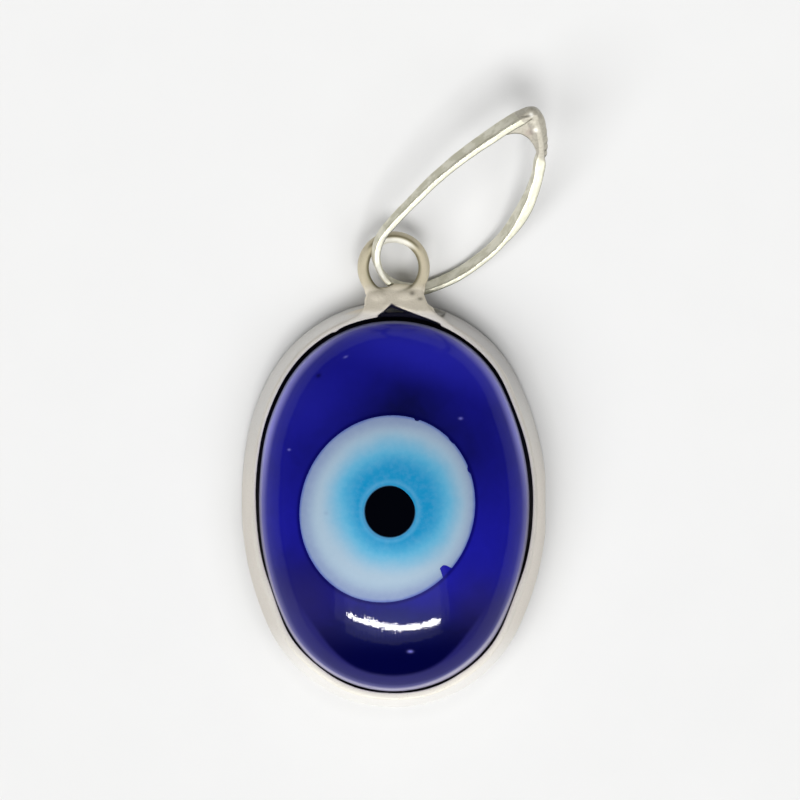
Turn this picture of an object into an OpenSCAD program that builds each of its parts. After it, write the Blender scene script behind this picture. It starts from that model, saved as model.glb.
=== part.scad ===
// Evil eye pendant: a cobalt glass cabochon with a layered eye, in a silver cup with a soldered
// wire eyelet, and a teardrop bail of flat silver strip that lies threaded through the eyelet.
// It lies on its back. +Z is up through the dome, +Y points to the eyelet, and the origin is the
// middle of the underside of the back plate. Lengths are millimetres.

/* [Glass] */
// Width of the glass oval
glass_w = 13; // [12.4:0.2:14]
// Length of the glass oval
glass_l = 18; // [16.8:0.2:19]
// Radius of the oval's round ends
glass_end_r = 5.8; // [5.4:0.1:6.1]
// Height of the straight side below the dome
girdle_h = 1.25; // [0.8:0.05:1.6]
// Height of the dome above the straight side
dome_h = 4.5; // [3.6:0.1:5]
// Slant of the straight side, in at the foot
girdle_draft = 0.15; // [0:0.05:0.3]

/* [Eye] */
// Short diameter of the white disc
white_w = 8.4; // [7.6:0.1:9]
// Long diameter of the white disc
white_l = 9.14; // [8.4:0.1:9.6]
// Turn of the white disc's long diameter, clockwise from +Y
white_turn = 22.8; // [0:1:45]
// Middle of the white disc across the glass
white_x = -0.31; // [-0.6:0.01:0.6]
// Middle of the white disc along the glass
white_y = -0.13; // [-0.6:0.01:0.6]
// Thickness of the white disc at its middle
white_depth = 1.05; // [0.9:0.05:1.4]
// Diameter of the blue iris
iris_d = 6.8; // [5.6:0.1:7.2]
// Middle of the iris across the glass
iris_x = -0.1; // [-0.4:0.01:0.2]
// Middle of the iris along the glass
iris_y = -0.08; // [-0.4:0.01:0.2]
// Thickness of the iris at its middle
iris_depth = 0.7; // [0.55:0.05:0.8]
// Diameter of the black pupil
pupil_d = 2.5; // [2:0.1:3.2]
// Middle of the pupil across the glass
pupil_x = -0.21; // [-0.5:0.01:0.3]
// Middle of the pupil along the glass
pupil_y = -0.28; // [-0.5:0.01:0.3]
// Thickness of the pupil at its middle
pupil_depth = 0.4; // [0.3:0.05:0.5]
// Thickness of each glass layer at its edge
layer_edge = 0.16; // [0.12:0.01:0.22]
// Joint between two glass layers
layer_gap = 0.03; // [0.02:0.01:0.05]

/* [Setting] */
// Thickness of the back plate
back_t = 0.4; // [0.3:0.05:0.6]
// Height of the cup over all
bezel_h = 2.3; // [2.1:0.05:2.7]
// Thickness of the wall at the rim
rim_t = 0.23; // [0.18:0.01:0.32]
// Thickness of the wall at the foot
foot_t = 0.38; // [0.3:0.01:0.5]
// How far the wall leans out from rim to foot
wall_flare = 0.54; // [0.4:0.01:0.6]
// Bevel on the rim's outer edge
rim_bevel = 0.06; // [0.03:0.01:0.1]
// Dark gap between the glass and the rim
stone_gap = 0.2; // [0.15:0.01:0.28]
// Gap between the glass and the back plate
seat_gap = 0.05; // [0.03:0.01:0.1]

/* [Eyelet] */
// Diameter of the eyelet's hole
eyelet_hole_d = 2.4; // [2.2:0.05:2.8]
// Diameter of the eyelet's wire
eyelet_wire = 0.58; // [0.5:0.01:0.64]
// Solder between the rim and the eyelet's wire
solder_l = 0.39; // [0.3:0.01:0.6]
// Width of the solder neck at its narrowest
solder_w = 3; // [2.6:0.05:3.3]
// How far the solder runs along the wall to the left of the neck
solder_run_left = 0.9; // [0.5:0.05:1.2]
// How far the solder runs along the wall to the right of the neck
solder_run_right = 1.5; // [0.8:0.05:1.8]
// Length of the notch in the rim, left of its point
notch_left = 0.48; // [0.3:0.02:0.6]
// Length of the notch in the rim, right of its point
notch_right = 1.85; // [1.2:0.05:2]
// Reach of the notch's point from the glass
notch_reach = 0.75; // [0.6:0.01:0.8]
// Depth of the notch below the rim
notch_depth = 0.7; // [0.4:0.05:0.9]

/* [Bail] */
// Length of the bail from the middle of its bend to its tip
bail_reach = 8.83; // [7.5:0.05:10]
// Radius of the round bend
bail_bend_r = 2.2; // [2:0.05:2.5]
// Radius of the left strand
bail_left_r = 21; // [16:0.5:30]
// Radius of the right strand
bail_right_r = 7; // [6.6:0.1:9]
// Width of the bail's strip
bail_w = 0.85; // [0.6:0.05:0.95]
// Thickness of the bail's strip
bail_t = 0.28; // [0.2:0.01:0.34]
// Diameter of the solder at the bail's tip
bead_d = 1.24; // [1.1:0.02:1.5]
// How far that solder runs down the right strand
bead_run = 1.5; // [0.8:0.1:2]
// Compass direction that the lying bail leans to, from +X
bail_lean = -66; // [-72:1:-60]
// Turn of the bail in its own plane, from straight down the slope
bail_turn = 121; // [116:1:126]
// How far from the middle of the eyelet's hole the strip passes
bail_pass = 0.63; // [0.55:0.01:0.68]
// Air between the bail and what it lies on or under
bail_gap = 0.05; // [0.04:0.01:0.08]

/* [Hidden] */
$fn = 128;
around = 72;        // points in one ring of the glass
cut = 1;            // how far a cutting solid passes the faces that it cuts

// The oval: two end arcs of glass_end_r and two side arcs, each tangent to the next
half_w = glass_w / 2;
half_l = glass_l / 2;
end_y = half_l - glass_end_r;
side_r = (half_w * half_w + end_y * end_y - glass_end_r * glass_end_r) / (2 * (half_w - glass_end_r));
side_x = side_r - half_w;
join = atan2(end_y, side_x);      // direction in which a side arc hands over to an end arc

// Heights
seat_z = back_t + seat_gap;
girdle_z = seat_z + girdle_h;

// Offsets of the cup's wall from the glass outline
rim_out = stone_gap + rim_t;
foot_out = rim_out + wall_flare;
foot_in = foot_out - foot_t;

// Eyelet
eyelet_mid_r = (eyelet_hole_d + eyelet_wire) / 2;
eyelet_out_r = eyelet_mid_r + eyelet_wire / 2;
eyelet_y = half_l + rim_out + solder_l + eyelet_out_r;

// How far along the glass the rim's outer edge lies, at x
function rim_y(x) = end_y + sqrt(pow(glass_end_r + rim_out, 2) - x * x);

// Centre of a strand's arc, beside the bail's axis: the arc ends at the tip and is tangent to the bend
function strand_x(r) = (pow(r - bail_bend_r, 2) - r * r + bail_reach * bail_reach) / (2 * bail_reach);
function strand_y(r) = sqrt(pow(r - bail_bend_r, 2) - pow(strand_x(r), 2));
left_c = [strand_x(bail_left_r), -strand_y(bail_left_r)];
right_c = [strand_x(bail_right_r), strand_y(bail_right_r)];

// The lying bail crosses over the eyelet's wire on one side of the hole and under it on the other.
// The span between the two crossings sets how flat it can lie.
crossing_share = 0.9;
bail_tilt = asin((bail_w + eyelet_wire + 2 * bail_gap) / (crossing_share * 2 * eyelet_mid_r));
// Direction, in the bail's plane, from the middle of the bend through the middle of the hole
pass_dir = 162.8;
bend_c = -(bail_bend_r - bail_pass) * [cos(pass_dir), sin(pass_dir)];
// The middle of the strip rides this far above the middle of the hole, to share out the air
bail_ride = bail_gap;
// The eyelet stands as high as the lowest stretch of the strip needs
down = [cos(-bail_turn), sin(-bail_turn)];
bail_down = bend_c * down + max(bail_bend_r, right_c * down + bail_right_r) + bail_t / 2;
eyelet_z = bail_gap + bail_down * sin(bail_tilt) + (bail_w / 2 - bail_ride) * cos(bail_tilt);

// Point on the oval, moved out by off, where the outline faces the direction a
function oval(a, off = 0) =
    let (q = abs(cos(a)), s = abs(sin(a)), side = atan2(s, q) < join)
    let (r = (side ? side_r : glass_end_r) + off)
    [sign(cos(a)) * (r * q - (side ? side_x : 0)), sign(sin(a)) * (r * s + (side ? 0 : end_y))];

// Length of the ray from the middle to the oval through the point p
function oval_reach(p) =
    let (d = p / norm(p), q = abs(d[0]), s = abs(d[1]))
    let (side = s * (side_r * cos(join) - side_x) < q * side_r * sin(join))
    let (c = side ? [-side_x, 0] : [0, end_y], r = side ? side_r : glass_end_r, k = c * [q, s])
    k + sqrt(k * k - c * c + r * r);

// Height of the dome over the point p, with an elliptical section in every direction
function dome_z(p) =
    let (share = norm(p) < 0.001 ? 0 : min(1, norm(p) / oval_reach(p)))
    girdle_z + dome_h * sqrt(1 - share * share);

// Outline of a disc w wide and l long, moved out by off, at the direction a
function disc(c, w, l, turn, off, a) =
    let (u = (w / 2 + off) * cos(a + turn), v = (l / 2 + off) * sin(a + turn))
    c + [u * cos(turn) + v * sin(turn), v * cos(turn) - u * sin(turn)];

angles = [for (i = [0 : around - 1]) 360 * i / around];
function white_rim(off) = [for (a = angles) disc([white_x, white_y], white_w, white_l, white_turn, off, a)];
function iris_rim(off) = [for (a = angles) disc([iris_x, iris_y], iris_d, iris_d, 0, off, a)];
function pupil_rim(off) = [for (a = angles) disc([pupil_x, pupil_y], pupil_d, pupil_d, 0, off, a)];

function middle(rim) = (rim[0] + rim[around / 2]) / 2;
function blend(from, to, t) = [for (i = [0 : around - 1]) from[i] * (1 - t) + to[i] * t];
function about(rim, k) = [for (p = rim) middle(rim) + k * (p - middle(rim))];
function at_z(rim, z) = [for (p = rim) [p[0], p[1], z]];
function on_dome(rim, under = 0) = [for (p = rim) [p[0], p[1], dome_z(p) - under]];

// Depth of a layer's underside below the dome, at the share k of its radius
function layer_under(depth, k) = layer_edge + (depth - layer_edge) * (1 - k * k);

// Underside of a layer, from near its middle out to its rim
function bowl(rim, depth, gap = 0) =
    [for (k = [0.25, 0.5, 0.75, 1]) on_dome(about(rim, k), layer_under(depth, k) + gap)];
function reversed(list) = [for (i = [len(list) - 1 : -1 : 0]) list[i]];

// Closed solid through rings of points, with a point at each end
module skin(first, rings, last) {
    n = len(rings);
    points = concat([first], [for (ring = rings) each ring], [last]);
    faces = concat(
        [for (i = [0 : around - 1]) [0, 1 + i, 1 + (i + 1) % around]],
        [for (k = [0 : n - 2], i = [0 : around - 1], t = [0, 1])
            let (j = (i + 1) % around, a = 1 + k * around, b = a + around)
            t == 0 ? [a + i, b + i, b + j] : [a + i, b + j, a + j]],
        [for (i = [0 : around - 1])
            [1 + (n - 1) * around + (i + 1) % around, 1 + (n - 1) * around + i, len(points) - 1]]);
    polyhedron(points, faces, convexity = 6);
}

// Point below the dome at the middle of a rim
function under_middle(rim, under) =
    let (m = middle(rim)) [m[0], m[1], dome_z(m) - under];

// The oval as a flat shape, moved out by off
module oval_shape(off) {
    half_join = (glass_end_r + off) * sin(join) + end_y;
    intersection() {
        translate([-side_x, 0]) circle(side_r + off);
        translate([side_x, 0]) circle(side_r + off);
        square([4 * half_w, 2 * half_join], center = true);
    }
    for (s = [-1, 1])
        intersection() {
            translate([0, s * end_y]) circle(glass_end_r + off);
            translate([0, s * (half_join + half_l)]) square([4 * half_w, 2 * half_l], center = true);
        }
}

// A section of [offset from the glass outline, height] points, swept round the oval
module oval_sweep(section) {
    for (s = [0, 180]) {
        rotate(s) translate([-side_x, 0]) rotate(-join)
            rotate_extrude(angle = 2 * join)
                polygon([for (p = section) [side_r + p[0], p[1]]]);
        rotate(s) translate([0, end_y]) rotate(join)
            rotate_extrude(angle = 180 - 2 * join)
                polygon([for (p = section) [glass_end_r + p[0], p[1]]]);
    }
}

module cup() {
    linear_extrude(back_t) oval_shape(foot_out - foot_t / 2);
    oval_sweep([
        [foot_in, 0],
        [foot_out, 0],
        [foot_out, back_t],
        [rim_out, bezel_h - rim_bevel],
        [rim_out - rim_bevel, bezel_h],
        [stone_gap, bezel_h],
        [foot_in, back_t / 2]
    ]);
}

// Solder between the cup and the eyelet: level with the rim at the wall, then down to the wire
module solder_neck() {
    low = eyelet_z - 0.3 * eyelet_wire;
    wire_top = eyelet_z + 0.44 * eyelet_wire;
    top = bezel_h - 2 * rim_bevel;
    wall_y = half_l + rim_out;
    ring_y = eyelet_y - 0.65 * eyelet_mid_r;
    brow_y = half_l + notch_reach + 0.15;
    half = solder_w / 2;
    left_x = half + solder_run_left;
    right_x = half + solder_run_right;
    difference() {
        intersection() {
            translate([0, 0, low])
                linear_extrude(top - low)
                    polygon([
                        [-left_x, rim_y(left_x)], [-half, wall_y + 0.02], [-0.9 * half, ring_y],
                        [0.95 * half, ring_y], [1.1 * half, wall_y + 0.08], [right_x, rim_y(right_x)],
                        [0, half_l - cut]
                    ]);
            translate([-right_x, 0, 0]) rotate([90, 0, 90])
                linear_extrude(2 * right_x)
                    polygon([
                        [end_y, low], [end_y, top], [brow_y, top],
                        [wall_y + solder_l + 0.75 * eyelet_wire, wire_top],
                        [eyelet_y, wire_top], [eyelet_y, low]
                    ]);
        }
        translate([0, 0, -cut]) linear_extrude(bezel_h + 2 * cut) oval_shape(rim_out - 0.03);
        translate([0, eyelet_y, 0]) cylinder(h = bezel_h + cut, r = eyelet_mid_r);
    }
}

module eyelet_ring() {
    translate([0, eyelet_y, eyelet_z])
        rotate_extrude() translate([eyelet_mid_r, 0]) circle(d = eyelet_wire, $fn = 48);
}

// The rim is parted over the eyelet, in an uneven V with its long side to the right
module rim_notch() {
    point_x = -0.13;
    translate([0, 0, bezel_h - notch_depth])
        linear_extrude(notch_depth + cut)
            polygon([
                [point_x - notch_left, half_l - cut / 2],
                [point_x - notch_left, half_l + stone_gap + 0.05],
                [point_x, half_l + notch_reach],
                [point_x + notch_right, half_l + stone_gap - 0.1],
                [point_x + notch_right, half_l - cut / 2]
            ]);
}

module setting() {
    color("silver") difference() {
        union() {
            cup();
            solder_neck();
            eyelet_ring();
        }
        rim_notch();
    }
}

module cobalt_glass() {
    outline = [for (a = angles) oval(a)];
    foot = [for (a = angles) oval(a, -girdle_draft)];
    pocket = white_rim(0);
    steps = 14;
    shoulder = [for (i = [1 : steps]) on_dome(blend(outline, pocket, 1 - cos(90 * i / steps)))];
    floor_rings = reversed(bowl(pocket, white_depth));
    color("mediumblue")
        skin([0, 0, seat_z], concat([at_z(foot, seat_z), at_z(outline, girdle_z)], shoulder, floor_rings),
            under_middle(pocket, white_depth));
}

// A glass layer that fills its pocket and holds the pocket of the next one
module glass_layer(rim, depth, pocket, pocket_depth) {
    top = [for (i = [0 : 5]) on_dome(blend(rim, pocket, i / 5))];
    skin(under_middle(rim, depth - layer_gap),
        concat(bowl(rim, depth, -layer_gap), top, reversed(bowl(pocket, pocket_depth))),
        under_middle(pocket, pocket_depth));
}

module white_disc() {
    color("lightsteelblue") glass_layer(white_rim(-layer_gap), white_depth, iris_rim(0), iris_depth);
}

module iris_disc() {
    color("deepskyblue") glass_layer(iris_rim(-layer_gap), iris_depth, pupil_rim(0), pupil_depth);
}

module pupil() {
    rim = pupil_rim(-layer_gap);
    top = [for (k = [1, 0.75, 0.5, 0.25]) on_dome(about(rim, k))];
    color("black")
        skin(under_middle(rim, pupil_depth - layer_gap), concat(bowl(rim, pupil_depth, -layer_gap), top),
            under_middle(rim, 0));
}

// One arc of the bail's strip, about the point c
module strip_arc(c, r, from, to) {
    translate(c) rotate(from)
        rotate_extrude(angle = to - from) translate([r, 0]) square([bail_t, bail_w], center = true);
}

// The bail flat in its own plane, with the middle of the bend at the origin and the tip on +X
module bail_flat() {
    left_join = atan2(-left_c[1], -left_c[0]);
    left_tip = atan2(-left_c[1], bail_reach - left_c[0]);
    right_join = 360 + atan2(-right_c[1], -right_c[0]);
    right_tip = 360 + atan2(-right_c[1], bail_reach - right_c[0]);
    run = 180 / PI * bead_run / bail_right_r;
    strip_arc(left_c, bail_left_r, left_tip, left_join);
    strip_arc([0, 0], bail_bend_r, left_join, right_join);
    strip_arc(right_c, bail_right_r, right_join, right_tip);
    hull() {
        translate([bail_reach - 0.1, 0]) sphere(d = bead_d, $fn = 32);
        translate(right_c + bail_right_r * [cos(right_tip - run), sin(right_tip - run)])
            sphere(d = 0.6 * bead_d, $fn = 32);
    }
}

module bail() {
    color("gainsboro")
        translate([0, eyelet_y, eyelet_z])
            rotate([0, 0, bail_lean]) rotate([0, bail_tilt, 0]) rotate([0, 0, bail_turn])
                translate([bend_c[0], bend_c[1], bail_ride]) bail_flat();
}

setting();
cobalt_glass();
white_disc();
iris_disc();
pupil();
bail();
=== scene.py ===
"""Evil eye pendant: a domed cobalt glass cabochon with a layered eye, in a soldered silver cup
with a wire eyelet, and a teardrop bail of flat silver strip that lies threaded through it."""

import math

import bmesh
import bpy
from mathutils import Matrix, Vector, noise


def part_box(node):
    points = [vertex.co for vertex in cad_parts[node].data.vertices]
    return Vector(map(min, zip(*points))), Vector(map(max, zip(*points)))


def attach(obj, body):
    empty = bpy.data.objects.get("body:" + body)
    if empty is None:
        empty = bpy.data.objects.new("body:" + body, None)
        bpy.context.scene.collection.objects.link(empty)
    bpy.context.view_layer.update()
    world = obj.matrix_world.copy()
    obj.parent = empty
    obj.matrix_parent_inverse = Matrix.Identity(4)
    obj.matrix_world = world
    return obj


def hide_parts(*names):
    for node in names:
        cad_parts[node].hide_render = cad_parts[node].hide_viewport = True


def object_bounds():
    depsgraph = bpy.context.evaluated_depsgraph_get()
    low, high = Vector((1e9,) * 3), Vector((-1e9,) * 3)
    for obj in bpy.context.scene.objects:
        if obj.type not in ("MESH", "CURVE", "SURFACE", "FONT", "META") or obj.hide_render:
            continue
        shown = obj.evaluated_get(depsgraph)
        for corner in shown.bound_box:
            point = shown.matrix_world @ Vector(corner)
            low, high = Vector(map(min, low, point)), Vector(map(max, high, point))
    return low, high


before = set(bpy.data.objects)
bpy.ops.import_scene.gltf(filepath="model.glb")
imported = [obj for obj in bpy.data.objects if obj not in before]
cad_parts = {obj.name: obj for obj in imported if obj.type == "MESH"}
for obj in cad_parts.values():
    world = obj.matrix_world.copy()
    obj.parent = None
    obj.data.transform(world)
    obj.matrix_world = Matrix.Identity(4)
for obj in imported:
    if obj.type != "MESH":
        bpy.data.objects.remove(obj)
cad_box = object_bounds()

MM = 0.001
AROUND = 360            # points in one ring of the glass
POLE = 0.004            # share of its size at which a ring closes to a pole
SHARP = math.radians(40)

# Glass. The pendant's sizes are in millimetres. The half width, half length and seat are the frame's.
GLASS_LOW, GLASS_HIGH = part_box("cobalt_glass")
HALF_W = GLASS_HIGH.x / MM
HALF_L = GLASS_HIGH.y / MM
SEAT_Z = GLASS_LOW.z / MM
END_R = 5.8
GIRDLE_H = 1.25
GIRDLE_DRAFT = 0.15
GIRDLE_Z = SEAT_Z + GIRDLE_H
DOME_H = 4.5

# The glass outline: two end arcs and two side arcs, each tangent to the next. The handmade one swells
# a little in two directions, and comes closer to the rim than the plain gap except at the eyelet.
END_Y = HALF_L - END_R
SIDE_R = (HALF_W ** 2 + END_Y ** 2 - END_R ** 2) / (2 * (HALF_W - END_R))
SIDE_X = SIDE_R - HALF_W
JOIN = math.atan2(END_Y, SIDE_X)
SWELLS = [(146, 18, 0.13), (2, 38, 0.06)]       # direction and spread in degrees, and amount
SNUG = 0.07
SNUG_SPREAD_DEG = 25
EYELET_WAY_DEG = 90

# Eye
WHITE = {"centre": (-0.3, -0.04), "size": (8.25, 8.98), "turn": math.radians(22.8), "depth": 1.05}
IRIS = {"centre": (-0.1, -0.08), "size": (6.8, 6.8), "turn": 0.0, "depth": 0.7}
PUPIL = {"centre": (-0.17, -0.15), "size": (2.5, 2.56), "turn": 0.0, "depth": 0.4, "bulge": 0.08}
BULGE_WAY = math.radians(225)
LAYER_EDGE = 0.16
DOME_RINGS = 26
LAYER_RINGS = 8

# Setting
BACK_T = 0.4
BEZEL_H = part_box("setting")[1].z / MM
RIM_T = 0.23
FOOT_T = 0.38
WALL_FLARE = 0.54
STONE_GAP = 0.2
RIM_OUT = STONE_GAP + RIM_T
FOOT_OUT = RIM_OUT + WALL_FLARE
FOOT_W = HALF_W + FOOT_OUT
FOOT_L = HALF_L + FOOT_OUT
NOTCH = [(-0.67, HALF_L + 0.3), (-0.12, HALF_L + 0.76), (2.1, HALF_L - 0.08)]
NOTCH_DEPTH = 0.7
CUP_AROUND = 240
RIM_BEVEL = 0.06
FOOT_BEVEL = 0.02
RIM_NICK_WAY = math.radians(118)
RIM_NICK_HALF = math.radians(1.6)
RIM_NICK_DEPTH = 0.1
BOX_MARGIN = 0.004

# Eyelet
WIRE = 0.58
HOLE_D = 2.4
SOLDER_L = 0.39
EYELET_R = (HOLE_D + WIRE) / 2
EYELET_Y = HALF_L + RIM_OUT + SOLDER_L + EYELET_R + WIRE / 2

# Bail: the flat teardrop has the middle of its bend at the origin and its tip on +X
BAIL_REACH = 8.83
BEND_R = 2.2
LEFT_R = 21.0
RIGHT_R = 7.0
STRIP_W = 0.85
STRIP_T = 0.28
STRIP_BEVEL = 0.07
STRIP_STEP = 0.1
BAIL_GAP = 0.05
BAIL_PASS = 0.63
PASS_DIR = math.radians(162.8)
BAIL_LEAN = math.radians(-66)
BAIL_TURN = math.radians(121)
CROSSING_SHARE = 0.9
BAIL_TILT = math.asin((STRIP_W + WIRE + 2 * BAIL_GAP) / (CROSSING_SHARE * 2 * EYELET_R))
BEND_C = -(BEND_R - BAIL_PASS) * Vector((math.cos(PASS_DIR), math.sin(PASS_DIR)))


def strand_centre(radius, side):
    """Centre of a strand's arc, which ends at the tip and is tangent to the bend."""
    along = ((radius - BEND_R) ** 2 - radius ** 2 + BAIL_REACH ** 2) / (2 * BAIL_REACH)
    return Vector((along, side * math.sqrt((radius - BEND_R) ** 2 - along ** 2)))


LEFT_C = strand_centre(LEFT_R, -1)
RIGHT_C = strand_centre(RIGHT_R, 1)
DOWNHILL = Vector((math.cos(BAIL_TURN), -math.sin(BAIL_TURN)))
BAIL_DOWN = BEND_C @ DOWNHILL + max(BEND_R, RIGHT_C @ DOWNHILL + RIGHT_R) + STRIP_T / 2
EYELET_Z = (BAIL_GAP + BAIL_DOWN * math.sin(BAIL_TILT)
            + (STRIP_W / 2 - BAIL_GAP) * math.cos(BAIL_TILT))


def hump(way, at, spread):
    """1 in the direction at and 0 well to either side of it, in degrees."""
    return math.exp(-((way - at) / spread) ** 2)


def snug(x, y):
    """How much closer the glass comes to the rim than the plain gap. It is 0 at the eyelet."""
    way = math.degrees(math.atan2(y, x))
    return SNUG * (1 - hump(way, EYELET_WAY_DEG, SNUG_SPREAD_DEG))


def swell(x, y):
    """How much further out than a plain oval the handmade outline lies, towards a point in plan."""
    way = math.degrees(math.atan2(y, x))
    return sum(amount * hump(way, at, spread) for at, spread, amount in SWELLS) + snug(x, y)


def oval(angle, off=0.0):
    """Point on the glass outline, moved out by off, where the outline faces the direction angle."""
    across, along = abs(math.cos(angle)), abs(math.sin(angle))
    on_side = math.atan2(along, across) < JOIN
    radius = (SIDE_R if on_side else END_R) + off
    x = radius * across - (SIDE_X if on_side else 0)
    y = radius * along + (0 if on_side else END_Y)
    place = Vector((math.copysign(x, math.cos(angle)), math.copysign(y, math.sin(angle))))
    return place * (1 + swell(*place) / place.length)


def oval_reach(point):
    """Length of the ray from the middle to the glass outline through the point."""
    across, along = abs(point.x) / point.length, abs(point.y) / point.length
    on_side = along * (SIDE_R * math.cos(JOIN) - SIDE_X) < across * SIDE_R * math.sin(JOIN)
    centre = Vector((-SIDE_X, 0)) if on_side else Vector((0, END_Y))
    radius = SIDE_R if on_side else END_R
    near = centre @ Vector((across, along))
    return near + math.sqrt(near ** 2 - centre @ centre + radius ** 2) + swell(*point)


def on_dome(point, under=0.0):
    """The point in plan, lifted onto the dome, or to a depth under it."""
    share = 0.0 if point.length < 0.001 else min(1.0, point.length / oval_reach(point))
    return Vector((point.x, point.y, GIRDLE_Z + DOME_H * math.sqrt(1 - share ** 2) - under))


def outline_off(x, y):
    """How far outside the glass outline a point in plan lies. It is negative inside."""
    across, along = abs(x), abs(y)
    if math.atan2(along, across + SIDE_X) < JOIN:
        return math.hypot(across + SIDE_X, along) - SIDE_R - swell(x, y)
    return math.hypot(across, along - END_Y) - END_R - swell(x, y)


def ease(low, high, value):
    """0 at low, 1 at high and past it, and a smooth step between them."""
    share = min(1.0, max(0.0, (value - low) / (high - low)))
    return share * share * (3 - 2 * share)


ANGLES = [2 * math.pi * step / AROUND for step in range(AROUND)]


def disc_rim(disc, nicks=()):
    """Outline of a disc of the eye. A nick, which bites into it, is (direction, half width, depth)."""
    rim = []
    for angle in ANGLES:
        bite = sum(depth * max(0.0, 1 - ((angle - at) / half) ** 4) for at, half, depth in nicks)
        bulge = disc.get("bulge", 0) * math.cos(angle - BULGE_WAY) ** 3
        u = (disc["size"][0] / 2 - bite + bulge) * math.cos(angle + disc["turn"])
        v = (disc["size"][1] / 2 - bite + bulge) * math.sin(angle + disc["turn"])
        turned = Vector((u, v))
        turned.rotate(Matrix.Rotation(-disc["turn"], 2))
        rim.append(Vector(disc["centre"]) + turned)
    return rim


def blend(start, end, share):
    """The ring a share of the way from one ring to another."""
    return [a.lerp(b, share) for a, b in zip(start, end)]


def middle(rim):
    """Halfway between two opposite points of a ring."""
    return (rim[0] + rim[AROUND // 2]) / 2


def about(rim, share):
    """The ring drawn in to a share of its size."""
    centre = middle(rim)
    return [centre.lerp(point, share) for point in rim]


def bowl(rim, depth):
    """Underside of a layer, from its rim in to its middle."""
    rings = []
    for share in (1, 0.75, 0.5, 0.25, POLE):
        under = LAYER_EDGE + (depth - LAYER_EDGE) * (1 - share ** 2)
        rings.append([on_dome(point, under) for point in about(rim, share)])
    return rings


def loft(rings):
    """Closed skin through rings of points. The first and last ring are drawn together to poles."""
    count = len(rings[0])
    bm = bmesh.new()
    step = bm.verts.layers.int.new("step")
    start = bmesh.ops.create_circle(bm, segments=count, radius=1)["verts"]
    for number, vert in enumerate(start):
        vert[step] = number
        vert.co = rings[0][number]
    verts, edges = start, list(bm.edges)
    for points in rings[1:]:
        grown = bmesh.ops.extrude_edge_only(bm, edges=edges)["geom"]
        verts = [item for item in grown if isinstance(item, bmesh.types.BMVert)]
        new = set(verts)
        edges = [item for item in grown if isinstance(item, bmesh.types.BMEdge)
                 and new.issuperset(item.verts)]
        for vert in verts:
            vert.co = points[vert[step]]
    for end, points in ((start, rings[0]), (verts, rings[-1])):
        pole = sum(points, Vector((0, 0, 0))) / count
        bmesh.ops.pointmerge(bm, verts=end, merge_co=pole)
    bmesh.ops.recalc_face_normals(bm, faces=bm.faces)
    return bm


def finish_mesh(bm, name):
    """The bmesh as a smooth shaded mesh, still in millimetres."""
    mesh = bpy.data.meshes.new(name)
    bm.to_mesh(mesh)
    bm.free()
    mesh.shade_smooth()
    mesh.set_sharp_from_angle(angle=SHARP)
    return mesh


def paint(mesh, name, rule):
    """A number for each point of the mesh, in millimetres, that its material reads."""
    layer = mesh.attributes.new(name, "FLOAT", "POINT")
    for vert in mesh.vertices:
        layer.data[vert.index].value = rule(vert)


def piece(mesh, look, slot, *nodes):
    """The finished mesh as a piece of the pendant, in metres, in the place of CAD nodes."""
    mesh.transform(Matrix.Scale(MM, 4))
    mesh.materials.clear()
    mesh.materials.append(look)
    obj = bpy.data.objects.new(mesh.name, mesh)
    bpy.context.scene.collection.objects.link(obj)
    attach(obj, "root")
    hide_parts(*nodes)
    return obj


# Glass pieces
NICKS = [
    (math.radians(315), math.radians(4.0), 0.42),
    (math.radians(72), math.radians(1.8), 0.09),
    (math.radians(45), math.radians(2.4), 0.04),
    (math.radians(23), math.radians(2.2), 0.08),
]
WHITE_RIM = disc_rim(WHITE, NICKS)
IRIS_RIM = disc_rim(IRIS)
PUPIL_RIM = disc_rim(PUPIL)


def glass_body():
    """The cobalt dome: base, straight girdle, dome in to the eye, and the pocket under the eye."""
    outline = [oval(angle) for angle in ANGLES]
    foot = [oval(angle, -GIRDLE_DRAFT) for angle in ANGLES]
    rings = [[point.to_3d() * POLE + Vector((0, 0, SEAT_Z)) for point in foot],
             [Vector((*point, SEAT_Z)) for point in foot],
             [Vector((*point, GIRDLE_Z)) for point in outline]]
    for step in range(1, DOME_RINGS + 1):
        share = 1 - math.cos(math.pi / 2 * step / DOME_RINGS)
        rings.append([on_dome(point) for point in blend(outline, WHITE_RIM, share)])
    return finish_mesh(loft(rings + bowl(WHITE_RIM, WHITE["depth"])), "cobalt_body")


def glass_layer(name, rim, depth, pocket, pocket_depth):
    """A layer of the eye: flush with the dome, with a pocket for the next layer."""
    top = [[on_dome(point) for point in blend(rim, pocket, step / LAYER_RINGS)]
           for step in range(LAYER_RINGS + 1)]
    return finish_mesh(loft(bowl(rim, depth)[::-1] + top + bowl(pocket, pocket_depth)), name)


def pupil_drop():
    """The black middle of the eye, flush with the dome."""
    top = [[on_dome(point) for point in about(PUPIL_RIM, share)]
           for share in (1, 0.8, 0.6, 0.4, 0.2, POLE)]
    return finish_mesh(loft(bowl(PUPIL_RIM, PUPIL["depth"])[::-1] + top), "eye_pupil")


# Silver pieces
def wobble(point, scale, amount):
    """A smooth uneven offset of handmade metal, at most about the amount either way."""
    return amount * noise.noise(Vector(point) * scale)


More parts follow.
